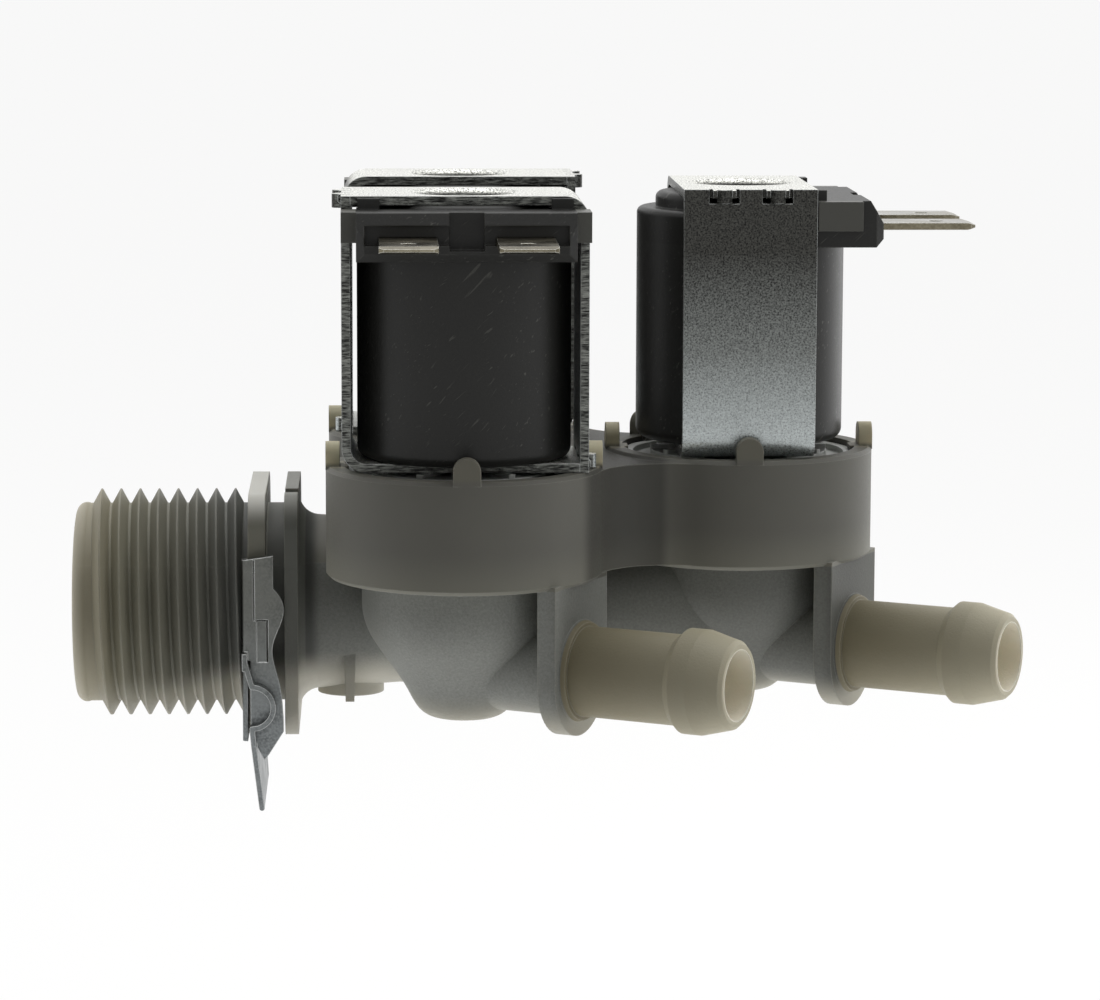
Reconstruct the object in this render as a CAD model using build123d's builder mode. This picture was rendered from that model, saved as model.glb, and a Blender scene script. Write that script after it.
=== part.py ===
from build123d import *
import os
from math import cos, radians, sin, sqrt

# Triple solenoid inlet valve for a washing machine, in millimetres.
# The origin is the centre of the inlet mouth. X runs along the inlet into the valve, Z points to the coils,
# and the near valve lies on the -Y side, the far valve on the +Y side, the right valve on the inlet axis.

# Inlet tube and its neck
inlet_root_r = 11.5
inlet_lead_r = 11.6
inlet_lead_length = 1.2
inlet_lead_slope = 0.3
inlet_lip_round = 1.1
strainer_bore_r = 9.5
strainer_seat_x = 12.5
panel_flange_x = 20.1
panel_flange_thickness = 1.95
flange_gap = 2.14
rear_flange_thickness = 1.52
flange_width = 25.6
flange_height = 27.8
flange_corner_r = 3.5
rear_flange_notch_width = 3.0
rear_flange_notch_depth = 0.9
neck_flare_r = 2.4
neck_root_r = 10.1
manifold_r = 9.5
manifold_taper_x = 37.25
manifold_wall = 1.9
manifold_end_gap = 1.0

# Hose thread on the inlet: 3/4 inch, 11.5 turns to the inch, right hand
thread_pitch = 2.209
thread_crest_r = 13.15
thread_crest_width = 0.15
thread_foot_gap = 0.03
thread_foot_sink = 0.2
thread_crest_x = 2.86
thread_clip_gap = 0.1

# Places of the three valves
near_valve = (44.48, -16.6)
far_valve = (44.48, 16.6)
right_valve = (76.74, 0.0)

# Round cups that hold the diaphragms and bonnets
cup_r = 15.5
cup_bore_r = 13.5
cup_top_z = 18.25
cup_bottom_z = 5.8
ledge_z = 8.6
cup_edge = 0.4
cup_under_edge = 0.6

# Bowls below the cups, and the seat tube in each
bowl_r = 11.5
bowl_bend_z = 2.9
bowl_waist_r = 9.1
bowl_waist_z = -3.2
bowl_foot_r = 6.1
bowl_foot_z = -7.8
bowl_bottom_z = -10.4
bowl_floor_r = 2.7
bowl_wall = 1.3
bowl_floor_thickness = 1.3
seat_tube_r = 5.2
seat_bore_r = 3.2
seat_z = 8.0
cup_web_hollow_r = 8.0

# Retaining lugs round each cup's rim
lug_width = 3.05
lug_thickness = 1.6
lug_top_z = 20.9
lug_lip = 0.6
lug_lip_height = 0.55

# Outlets: angle below +X on the near and right valves, above it on the far one
outlet_angle = 29.0
outlet_z = -4.0
outlet_bore_r = 3.9
outlet_tube_r = 5.2
boss_face = 14.7
boss_half_width = 6.5
boss_thickness = 2.2
boss_top_z = 6.25
boss_drop = 0.8
shank_r = 5.05
shank_collar_r = 5.75
shank_collar_height = 0.7
shank_collar_taper = 20
barb_foot = 27.0
barb_step = 0.9
barb_land = 2.1
barb_r = 5.85
outlet_end = 33.9
outlet_end_r = 4.95
outlet_end_round = 0.45

# Pads and ribs under and beside the neck
pad_r = 3.85
pad_x = 31.62
pad_bottom_z = -10.6
fin_thickness = 1.6
fin_draft = 0.3
fin_bottom_z = -10.35
saddle_width = 2.3
saddle_x = 30.75
saddle_half_width = 8.6
saddle_bottom_z = -0.7

# Coil frame: two equal angles of steel sheet, one turned over the other
sheet = 1.0
frame_width = 27.26
frame_depth = 15.04
frame_bottom_z = 18.3
frame_height = 30.5
frame_bend_r = 2.75
frame_tab_width = 2.6
frame_tab_pitch = 6.0
frame_tab_reach = 0.35
frame_tab_round = 0.3
frame_lump_r = 0.85
frame_lump_gap = 0.05
frame_notch_width = 3.4
frame_notch_depth = 1.6
collar_bore_r = 5.1
collar_wall = 0.9
collar_length = 4.0
collar_entry_r = 1.4

# Coil and its connector housing: each drop is measured from the top of the frame
coil_side_gap = 0.68
coil_shoulder_drop = 2.8
coil_top_round = 0.7
coil_bottom_round = 1.2
coil_cap_step = 2.15
coil_cap_round = 0.8
coil_bore_clearance = 0.15
housing_front = 15.3
housing_side_gap = 0.68
housing_bottom_drop = 6.65
housing_top_drop = 1.4
housing_back = 5.0
housing_corner = 0.9
housing_floor = 1.2
housing_slope_depth = 2.6
housing_slope_height = 1.6
wing_inset = 0.03
wing_setback = 2.6
wing_bottom_drop = 4.7
wing_gap = 0.1
housing_mid_half_width = 1.9
housing_mid_depth = 2.4
socket_depth = 1.6
socket_top_drop = 2.75
key_block_width = 2.4
key_block_inset = 0.15
key_block_depth = 1.1
key_block_top_drop = 0.2

# Spade terminals
spade_width = 6.3
spade_thickness = 0.8
spade_side_gap = 2.45
spade_tip = 26.0
spade_root = 11.2
spade_drop = 4.45
spade_tip_taper = 0.5
spade_hole_r = 0.85
spade_hole_from_tip = 4.2
spade_bevel_height = 0.25
spade_bevel_length = 0.9

# Bonnet and guide tube
bonnet_clearance = 0.15
bonnet_rim_z = 17.6
bonnet_groove_inner_r = 10.2
bonnet_groove_outer_r = 12.2
bonnet_groove_depth = 0.9
bonnet_chamber_r = 8.6
bonnet_chamber_z = 12.4
guide_tube_r = 4.9
guide_bore_r = 4.08
guide_bore_drop = 4.8
guide_tube_drop = 3.6
guide_tube_tip_chamfer = 0.8
bonnet_rib_count = 12
bonnet_rib_width = 0.8
bonnet_rib_height = 0.45
bonnet_rib_root = 0.2

# Plunger, its seal and its return spring
plunger_r = 4.0
plunger_bottom_z = 12.9
plunger_travel = 2.5
plunger_top_gap = 0.5
plunger_grooves = 3
plunger_groove_width = 1.4
plunger_groove_depth = 0.6
spring_pocket_r = 3.0
spring_pocket_z = 31.0
seal_r = 2.2
seal_proud = 0.5
seal_depth = 1.6
seal_chamfer = 0.3
spring_r = 2.3
spring_wire_r = 0.3
spring_turns = 6
spring_end_gap = 0.05

# Diaphragm and its hard insert
diaphragm_r = 13.3
bead_width = 1.7
bead_height = 1.6
diaphragm_pad_r = 6.4
diaphragm_pad_height = 1.3
diaphragm_web = 0.7
insert_stem_r = 2.1
insert_flange_r = 5.6
insert_flange_height = 1.1
insert_guide_r = 3.1
insert_guide_height = 1.2
insert_clearance = 0.05
nozzle_r = 1.5
nozzle_gap = 0.3
pilot_r = 0.6

# Flow restrictor in each outlet
restrictor_seat = 10.0
restrictor_length = 3.0
restrictor_hole_r = 1.6
restrictor_clearance = 0.05

# Inlet strainer
strainer_rim = 1.4
strainer_clearance = 0.05
strainer_neck_gap = 0.4
strainer_tip_r = 5.4
strainer_length = 13.0
strainer_wall = 0.8
strainer_slots = 10
strainer_slot_width = 1.9
strainer_slot_length = 4.8
strainer_slot_centres = (0.27, 0.73)
strainer_slot_start_r = 3.0
strainer_puller_r = 1.3
strainer_puller_length = 19.0

# Mounting clip of spring steel round the panel flange
clip_sheet = 0.6
clip_gap = 0.1
clip_top_z = 6.9
clip_ear_z = -4.6
clip_ear_height = 2.0
clip_arm_gap = 0.2
clip_arm_width = 1.3
clip_bead_r = 2.4
clip_bead_z = -9.8
clip_bead_shift = 1.1
clip_tongue_z = -22.6
clip_tongue_half_width = 9.0
clip_tongue_lean = 0.9
clip_fork_gap = 0.3
clip_cut_margin = 1.0
clip_bend_r = 0.5
clip_tab_front = 1.05
clip_tab_z = -2.4
clip_tab_width = 1.2
clip_tab_height = 4.8
clip_tab_slit = 0.15
clip_tab_sink = 0.2
clip_seam_x = 0.75
clip_seam_width = 0.15
clip_wall_top_rise = 0.5
clip_wall_foot_z = -13.1
clip_rear_edge = (
    (2.85, 3.7),
    (3.95, 0.5),
    (2.75, -3.0),
    (3.45, -7.0),
    (3.85, -10.0),
    (3.95, -12.8),
)
clip_wall_corner = (2.3, -15.4)
clip_wall_toe = (1.75, -16.1)

# Values worked out from the sizes above
rear_flange_x = panel_flange_x + panel_flange_thickness + flange_gap
clip_plate_back_x = panel_flange_x - clip_gap
clip_plate_front_x = clip_plate_back_x - clip_sheet
frame_top_z = frame_bottom_z + frame_height
leg_inside = frame_width / 2 - sheet
coil_r = leg_inside - coil_side_gap
coil_cap_r = coil_r - coil_cap_step
housing_half_width = leg_inside - housing_side_gap
wing_half_width = frame_width / 2 - wing_inset
key_block_outer = housing_half_width - key_block_inset
key_block_inner = key_block_outer - key_block_width
spade_pitch = 2 * (housing_half_width - spade_side_gap) - spade_width
coil_bottom_z = frame_bottom_z + sheet
coil_shoulder_z = frame_top_z - coil_shoulder_drop
cap_top_z = frame_top_z - sheet
housing_bottom_z = frame_top_z - housing_bottom_drop
housing_top_z = frame_top_z - housing_top_drop
wing_bottom_z = frame_top_z - wing_bottom_drop
socket_top_z = frame_top_z - socket_top_drop
spade_z = frame_top_z - spade_drop
guide_bore_top_z = frame_top_z - guide_bore_drop
guide_tube_top_z = frame_top_z - guide_tube_drop
collar_r = collar_bore_r + collar_wall
coil_bore_r = collar_r + coil_bore_clearance
bonnet_r = cup_bore_r - bonnet_clearance
bonnet_bottom_z = ledge_z + bead_height
bonnet_top_z = frame_bottom_z - bonnet_rib_height
pad_top_z = seat_z + diaphragm_pad_height
nozzle_top_z = plunger_bottom_z - seal_proud - nozzle_gap
manifold_bore_r = manifold_r - manifold_wall
strainer_neck_r = manifold_bore_r - strainer_neck_gap
plunger_top_z = guide_bore_top_z - plunger_travel - plunger_top_gap
bowl_inner_r = bowl_r - bowl_wall
bowl_inner_floor_z = bowl_foot_z + bowl_floor_thickness
flare_x = rear_flange_x + rear_flange_thickness
lug_centre_z = lug_top_z - lug_width / 2
lug_root_z = cup_top_z - cup_edge

outlets = {
    "near": (near_valve, -outlet_angle),
    "far": (far_valve, outlet_angle),
    "right": (right_valve, -outlet_angle),
}
coil_turns = {"near": 0, "far": 180, "right": 90}
lug_angles = {
    "near": (0, 90, 180, 270),
    "far": (0, 90, 180, 270),
    "right": (0, 90, 135, 180, 270),
}


def outlet_plane(valve, distance):
    """Plane across an outlet, its z axis pointing out of the valve."""
    (x, y), angle = outlets[valve]
    along = (cos(radians(angle)), sin(radians(angle)), 0)
    across = (-along[1], along[0], 0)
    return Plane(
        origin=(x + along[0] * distance, y + along[1] * distance, outlet_z),
        x_dir=across,
        z_dir=along,
    )


def upright_plane(valve, z):
    """Level plane across a valve's axis at the given height."""
    (x, y), _ = outlets[valve]
    return Plane(origin=(x, y, z), z_dir=(0, 0, 1))


def radial_plane(valve):
    """Upright plane through a valve's axis: x is the radius, y is the height."""
    (x, y), _ = outlets[valve]
    return Plane(origin=(x, y, 0), x_dir=(1, 0, 0), z_dir=(0, -1, 0))


def tangent_plane(valve, angle, radius):
    """Upright plane that touches a cup: x is tangent, y is the height, z points outwards."""
    (x, y), _ = outlets[valve]
    outward = (cos(radians(angle)), sin(radians(angle)), 0)
    return Plane(
        origin=(x + outward[0] * radius, y + outward[1] * radius, 0),
        x_dir=(-outward[1], outward[0], 0),
        z_dir=outward,
    )


# Ridge of the inlet thread: it starts on the far side and stops short of the clip
with BuildPart() as thread_ridge:
    thread_start_x = thread_crest_x - thread_pitch / 4
    thread_end_x = clip_plate_front_x - thread_clip_gap
    ridge_foot = (thread_pitch - thread_foot_gap) / 2
    ridge_foot_r = inlet_root_r - thread_foot_sink
    with BuildLine() as thread_line:
        Helix(pitch=thread_pitch, height=panel_flange_x - thread_start_x, radius=inlet_root_r)
    with BuildSketch(Plane.XZ):
        with BuildLine():
            Polyline(
                (ridge_foot_r, -ridge_foot),
                (thread_crest_r, -thread_crest_width / 2),
                (thread_crest_r, thread_crest_width / 2),
                (ridge_foot_r, ridge_foot),
                (ridge_foot_r, -ridge_foot),
            )
        make_face()
    sweep(path=thread_line.line, is_frenet=True)
    with BuildSketch(Plane.XY.offset(thread_end_x - thread_start_x)):
        Circle(2 * thread_crest_r)
    extrude(amount=2 * thread_pitch + panel_flange_x - thread_end_x, mode=Mode.SUBTRACT)

# Valve body, one moulding
with BuildPart() as valve_body:
    # Inlet tube, neck and manifold as one turned form
    with BuildSketch(Plane.XZ) as inlet_profile:
        with BuildLine():
            Polyline((0, 0), (0, inlet_lead_r - inlet_lip_round))
            TangentArc(
                (0, inlet_lead_r - inlet_lip_round),
                (inlet_lip_round, inlet_lead_r),
                tangent=(0, 1),
            )
            Polyline(
                (inlet_lip_round, inlet_lead_r),
                (inlet_lead_length, inlet_lead_r),
                (inlet_lead_length + inlet_lead_slope, inlet_root_r),
                (flare_x, inlet_root_r),
                (flare_x, neck_root_r + neck_flare_r),
            )
            RadiusArc(
                (flare_x, neck_root_r + neck_flare_r),
                (flare_x + neck_flare_r, neck_root_r),
                -neck_flare_r,
            )
            Polyline(
                (flare_x + neck_flare_r, neck_root_r),
                (manifold_taper_x, manifold_r),
                (right_valve[0], manifold_r),
                (right_valve[0], 0),
                (0, 0),
            )
        make_face()
    revolve(axis=Axis.X)

    # Two flanges on the neck: the thick one meets the machine's panel, the thin one backs the clip
    for flange_x, flange_thickness in (
        (panel_flange_x, panel_flange_thickness),
        (rear_flange_x, rear_flange_thickness),
    ):
        with BuildSketch(Plane.YZ.offset(flange_x)):
            RectangleRounded(flange_width, flange_height, flange_corner_r)
        extrude(amount=flange_thickness)
    with BuildSketch(Plane.YZ.offset(rear_flange_x)):
        with Locations((-flange_width / 4, flange_height / 2)):
            Rectangle(rear_flange_notch_width, 2 * rear_flange_notch_depth)
    extrude(amount=rear_flange_thickness, mode=Mode.SUBTRACT)

    # Saddle that carries the two left cups on the neck
    with BuildSketch(Plane.XY.offset(saddle_bottom_z)):
        with Locations((saddle_x + saddle_width / 2, 0)):
            Rectangle(saddle_width, 2 * saddle_half_width)
    extrude(amount=cup_bottom_z - saddle_bottom_z + 1)

    # Round pad under the neck, and the fin that runs down from the saddle's front edge
    with BuildSketch(Plane.XY.offset(pad_bottom_z)):
        with Locations((pad_x, 0)):
            Circle(pad_r)
    extrude(amount=-pad_bottom_z)
    with BuildSketch(Plane.XZ):
        with BuildLine():
            Polyline(
                (saddle_x, saddle_bottom_z),
                (saddle_x + fin_thickness, saddle_bottom_z),
                (saddle_x + fin_thickness - fin_draft, fin_bottom_z),
                (saddle_x + fin_draft, fin_bottom_z),
                (saddle_x, saddle_bottom_z),
            )
        make_face()
    extrude(amount=saddle_half_width, both=True)

    # Webs that tie the cups together, hollow on both sides so that they run into the cups
    web_reach = cup_r + cup_web_hollow_r
    for start, end in ((near_valve, right_valve), (far_valve, right_valve), (near_valve, far_valve)):
        span = sqrt((end[0] - start[0]) ** 2 + (end[1] - start[1]) ** 2)
        middle = ((start[0] + end[0]) / 2, (start[1] + end[1]) / 2, cup_bottom_z + cup_edge)
        web_plane = Plane(origin=middle, x_dir=(end[0] - start[0], end[1] - start[1], 0), z_dir=(0, 0, 1))
        hollow_y = sqrt(web_reach**2 - (span / 2) ** 2)
        with BuildSketch(web_plane):
            Rectangle(span * cup_web_hollow_r / web_reach, 2 * hollow_y * cup_r / web_reach)
            with Locations((0, hollow_y), (0, -hollow_y)):
                Circle(cup_web_hollow_r, mode=Mode.SUBTRACT)
        extrude(amount=cup_top_z - cup_bottom_z - 2 * cup_edge)

    for valve in outlets:
        # Cup with the bowl below it, as one turned form
        (valve_x, valve_y), outlet_turn = outlets[valve]
        valve_axis = Axis((valve_x, valve_y, 0), (0, 0, 1))
        with BuildSketch(radial_plane(valve)):
            with BuildLine():
                Polyline(
                    (0, cup_top_z),
                    (cup_r - cup_edge, cup_top_z),
                    (cup_r, cup_top_z - cup_edge),
                    (cup_r, cup_bottom_z + cup_edge),
                    (cup_r - cup_edge, cup_bottom_z),
                    (bowl_r + cup_under_edge, cup_bottom_z),
                    (bowl_r, cup_bottom_z - cup_under_edge),
                    (bowl_r, bowl_bend_z),
                )
                bowl_side = Spline(
                    (bowl_r, bowl_bend_z),
                    (bowl_waist_r, bowl_waist_z),
                    (bowl_foot_r, bowl_foot_z),
                    tangents=((0, -1), (-0.5, -1)),
                )
                Spline(
                    bowl_side @ 1,
                    (bowl_floor_r, bowl_bottom_z),
                    tangents=((-0.5, -1), (-1, 0)),
                )
                Polyline((bowl_floor_r, bowl_bottom_z), (0, bowl_bottom_z), (0, cup_top_z))
            make_face()
        revolve(axis=valve_axis)

        # Boss plate with a round foot, shank and barb
        with BuildSketch(outlet_plane(valve, boss_face)):
            with Locations((0, -boss_drop)):
                Circle(boss_half_width)
            with Locations((0, (boss_top_z - outlet_z - boss_drop) / 2)):
                Rectangle(2 * boss_half_width, boss_top_z - outlet_z + boss_drop)
        extrude(amount=-boss_thickness)
        with BuildSketch(outlet_plane(valve, boss_face)):
            Circle(shank_collar_r)
        extrude(amount=shank_collar_height, taper=shank_collar_taper)
        barb_plane = Plane(
            origin=(valve_x, valve_y, outlet_z),
            x_dir=(cos(radians(outlet_turn)), sin(radians(outlet_turn)), 0),
            z_dir=(sin(radians(outlet_turn)), -cos(radians(outlet_turn)), 0),
        )
        with BuildSketch(barb_plane):
            with BuildLine():
                Polyline(
                    (boss_face - boss_thickness, 0),
                    (boss_face - boss_thickness, shank_r),
                    (barb_foot, shank_r),
                    (barb_foot + barb_step, barb_r),
                    (barb_foot + barb_step + barb_land, barb_r),
                    (outlet_end - outlet_end_round, outlet_end_r),
                    (outlet_end, outlet_end_r - outlet_end_round),
                    (outlet_end, 0),
                    (boss_face - boss_thickness, 0),
                )
            make_face()
        revolve(
            axis=Axis((valve_x, valve_y, outlet_z), (cos(radians(outlet_turn)), sin(radians(outlet_turn)), 0))
        )

    # Bonnet seats and diaphragm chambers are hollow
    for valve in outlets:
        (valve_x, valve_y), _ = outlets[valve]
        with BuildSketch(upright_plane(valve, ledge_z)):
            Circle(cup_bore_r)
        extrude(amount=cup_top_z - ledge_z, mode=Mode.SUBTRACT)
        with BuildSketch(radial_plane(valve)):
            with BuildLine():
                Polyline((0, ledge_z), (bowl_inner_r, ledge_z), (bowl_inner_r, bowl_bend_z))
                cavity_side = Spline(
                    (bowl_inner_r, bowl_bend_z),
                    (bowl_waist_r - bowl_wall, bowl_waist_z),
                    (bowl_foot_r - bowl_wall, bowl_inner_floor_z),
                    tangents=((0, -1), (-0.5, -1)),
                )
                Polyline(cavity_side @ 1, (0, bowl_inner_floor_z), (0, ledge_z))
            make_face()
        revolve(axis=Axis((valve_x, valve_y, 0), (0, 0, 1)), mode=Mode.SUBTRACT)

    # Inlet bore and manifold passage
    with BuildSketch(Plane.YZ):
        Circle(strainer_bore_r)
    extrude(amount=strainer_seat_x, mode=Mode.SUBTRACT)
    with BuildSketch(Plane.YZ):
        Circle(manifold_bore_r)
    extrude(amount=right_valve[0] - seat_tube_r - manifold_end_gap, mode=Mode.SUBTRACT)

    # Seat tubes and outlet tubes stand inside the chambers
    for valve in outlets:
        with BuildSketch(upright_plane(valve, outlet_z)):
            Circle(seat_tube_r)
        extrude(amount=seat_z - outlet_z)
        with BuildSketch(outlet_plane(valve, 0)):
            Circle(outlet_tube_r)
        extrude(amount=boss_face)
        with BuildSketch(upright_plane(valve, bowl_foot_z)):
            Circle(seat_tube_r)
        extrude(amount=outlet_z - bowl_foot_z)
    for valve in outlets:
        with BuildSketch(upright_plane(valve, outlet_z)):
            Circle(seat_bore_r)
        extrude(amount=seat_z - outlet_z, mode=Mode.SUBTRACT)
        with BuildSketch(outlet_plane(valve, 0)):
            Circle(seat_bore_r)
        extrude(amount=outlet_end, mode=Mode.SUBTRACT)
        with BuildSketch(outlet_plane(valve, restrictor_seat)):
            Circle(outlet_bore_r)
        extrude(amount=outlet_end - restrictor_seat, mode=Mode.SUBTRACT)

    # Lugs on the rims, each with a small lip inside that holds the bonnet down
    for valve, angles in lug_angles.items():
        for angle in angles:
            with BuildSketch(tangent_plane(valve, angle, cup_r)):
                with Locations((0, (lug_root_z + lug_centre_z) / 2)):
                    Rectangle(lug_width, lug_centre_z - lug_root_z)
                with Locations((0, lug_centre_z)):
                    Circle(lug_width / 2)
            extrude(amount=-lug_thickness)
            with BuildSketch(tangent_plane(valve, angle, cup_r - lug_thickness / 2)):
                with Locations((0, cup_top_z - lug_lip_height / 2)):
                    Rectangle(lug_width, lug_lip_height)
            extrude(amount=cup_bore_r - lug_lip - cup_r + lug_thickness / 2)

    # Hose thread
    inlet_end = Plane(origin=(thread_start_x, 0, 0), x_dir=(0, 1, 0), z_dir=(1, 0, 0))
    add(thread_ridge.part.moved(inlet_end.location))

valve_body.part.label = "valve_body"


# Inlet strainer, pushed into the mouth against the step in the bore
with BuildPart() as inlet_strainer:
    with BuildSketch(Plane.XZ):
        with BuildLine():
            Polyline(
                (strainer_seat_x, strainer_neck_r - strainer_wall),
                (strainer_seat_x + strainer_length, strainer_tip_r - strainer_wall),
                (strainer_seat_x + strainer_length, 0),
                (strainer_seat_x + strainer_length + strainer_wall, 0),
                (strainer_seat_x + strainer_length + strainer_wall, strainer_tip_r),
                (strainer_seat_x, strainer_neck_r),
                (strainer_seat_x, strainer_bore_r - strainer_clearance),
                (strainer_seat_x - strainer_rim, strainer_bore_r - strainer_clearance),
                (strainer_seat_x - strainer_rim, strainer_neck_r - strainer_wall),
                (strainer_seat_x, strainer_neck_r - strainer_wall),
            )
        make_face()
    revolve(axis=Axis.X)
    with BuildSketch(Plane.YZ.offset(strainer_seat_x + strainer_length + strainer_wall)):
        Circle(strainer_puller_r)
    extrude(amount=-strainer_puller_length)
    for turn in range(strainer_slots):
        angle = radians(360 * turn / strainer_slots)
        outward = (0, cos(angle), sin(angle))
        slot_plane = Plane(
            origin=(strainer_seat_x, outward[1] * strainer_slot_start_r, outward[2] * strainer_slot_start_r),
            x_dir=(1, 0, 0),
            z_dir=outward,
        )
        with BuildSketch(slot_plane):
            for centre in strainer_slot_centres:
                with Locations((strainer_length * centre, 0)):
                    Rectangle(strainer_slot_length, strainer_slot_width)
        extrude(amount=strainer_bore_r, mode=Mode.SUBTRACT)

inlet_strainer.part.label = "inlet_strainer"


# Mounting clip: a fork plate in front of the panel flange, side walls over its edges, and two arms that
# swell into a round bead and join in the tongue below
wall_inner_y = flange_width / 2 + clip_gap
wall_outer_y = wall_inner_y + clip_sheet
arm_inner_y = wall_outer_y + clip_arm_gap
arm_outer_y = arm_inner_y + clip_arm_width
bead_x = clip_plate_front_x + clip_bead_shift
tongue_top_z = -flange_height / 2 - clip_fork_gap
rear_edge = [(panel_flange_x + x, z) for x, z in clip_rear_edge]
wall_corner, wall_toe = [(panel_flange_x + x, z) for x, z in (clip_wall_corner, clip_wall_toe)]
tab_front_x = clip_plate_back_x + clip_tab_front
tab_back_x = tab_front_x + clip_tab_width
tab_top_z = clip_tab_z + clip_tab_height / 2

with BuildPart() as mounting_clip:
    # Fork plate, open at the top so that it slides over the inlet tube from below
    with BuildSketch(Plane.YZ.offset(clip_plate_front_x)):
        with Locations((0, (clip_top_z - flange_height / 2) / 2)):
            Rectangle(2 * wall_outer_y, clip_top_z + flange_height / 2)
        with Locations((0, clip_ear_z)):
            Rectangle(2 * arm_outer_y, clip_ear_height)
        with Locations((0, clip_top_z / 2)):
            Rectangle(2 * (inlet_root_r + clip_fork_gap), clip_top_z, mode=Mode.SUBTRACT)
        Circle(inlet_root_r + clip_fork_gap, mode=Mode.SUBTRACT)
    extrude(amount=clip_sheet)

    # Side walls, with their waved rear edge, and a tab slit free along its top and back and pressed in
    for side in (-1, 1):
        with BuildSketch(Plane.XZ.offset(-side * wall_outer_y)):
            with BuildLine():
                Polyline(
                    (clip_plate_front_x, clip_top_z),
                    (rear_edge[0][0], clip_top_z + clip_wall_top_rise),
                    rear_edge[0],
                )
                Spline(*rear_edge)
                Polyline(
                    rear_edge[-1],
                    wall_corner,
                    wall_toe,
                    (clip_plate_back_x + clip_fork_gap, clip_wall_foot_z),
                    (clip_plate_back_x + clip_fork_gap, clip_ear_z),
                    (clip_plate_front_x, clip_ear_z),
                    (clip_plate_front_x, clip_top_z),
                )
            make_face()
            with Locations(((tab_front_x + tab_back_x) / 2, tab_top_z)):
                Rectangle(clip_tab_width + clip_tab_slit, clip_tab_slit, mode=Mode.SUBTRACT)
            with Locations((tab_back_x, clip_tab_z)):
                Rectangle(clip_tab_slit, clip_tab_height, mode=Mode.SUBTRACT)
        extrude(amount=side * clip_sheet)
        with BuildSketch(Plane.XZ.offset(-side * wall_outer_y)):
            with Locations(((tab_front_x + tab_back_x) / 2, clip_tab_z)):
                Rectangle(clip_tab_width, clip_tab_height)
            with Locations((clip_plate_back_x + clip_seam_x, (clip_top_z + tab_top_z) / 2)):
                Rectangle(clip_seam_width, clip_top_z - tab_top_z)
        extrude(amount=side * clip_tab_sink, mode=Mode.SUBTRACT)

    # Arms beside the side walls, and the tongue that joins them below the flange
    tongue_start = (bead_x, clip_bead_z - clip_bead_r)
    tongue_end = (bead_x + clip_tongue_lean, clip_tongue_z)
    tongue_share = (tongue_top_z - tongue_start[1]) / (tongue_end[1] - tongue_start[1])
    tongue_top = (tongue_start[0] + tongue_share * clip_tongue_lean, tongue_top_z)
    for side in (-1, 1):
        with BuildSketch(Plane.XZ.offset(-side * arm_inner_y)):
            with BuildLine():
                lead = Line(
                    (clip_plate_front_x + clip_sheet / 2, clip_ear_z),
                    (bead_x, clip_bead_z + clip_bead_r),
                )
                ThreePointArc(lead @ 1, (bead_x + clip_bead_r, clip_bead_z), tongue_start)
                Line(tongue_start, tongue_end)
                offset(amount=clip_sheet / 2, side=Side.BOTH)
            make_face()
        extrude(amount=-side * clip_arm_width)
    with BuildSketch(Plane.XZ):
        with BuildLine():
            Line(tongue_top, tongue_end)
            offset(amount=clip_sheet / 2, side=Side.BOTH)
        make_face()
    extrude(amount=arm_outer_y, both=True)
    with BuildSketch(Plane.YZ.offset(clip_plate_front_x)):
        for side in (-1, 1):
            with BuildLine():
                Polyline(
                    (side * arm_outer_y, tongue_top_z),
                    (side * (arm_outer_y + clip_cut_margin), tongue_top_z),
                    (side * (arm_outer_y + clip_cut_margin), clip_tongue_z - clip_cut_margin),
                    (side * clip_tongue_half_width, clip_tongue_z - clip_cut_margin),
                    (side * arm_outer_y, tongue_top_z),
                )
            make_face()
    extrude(amount=2 * (clip_bead_r + clip_bead_shift), mode=Mode.SUBTRACT)
    bends = mounting_clip.edges().filter_by(Axis.Z).group_by(Axis.X)[0]
    fillet(bends.filter_by(lambda e: abs(abs(e.center().Y) - wall_outer_y) < 0.01), clip_bend_r)

mounting_clip.part.label = "mounting_clip"


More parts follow.
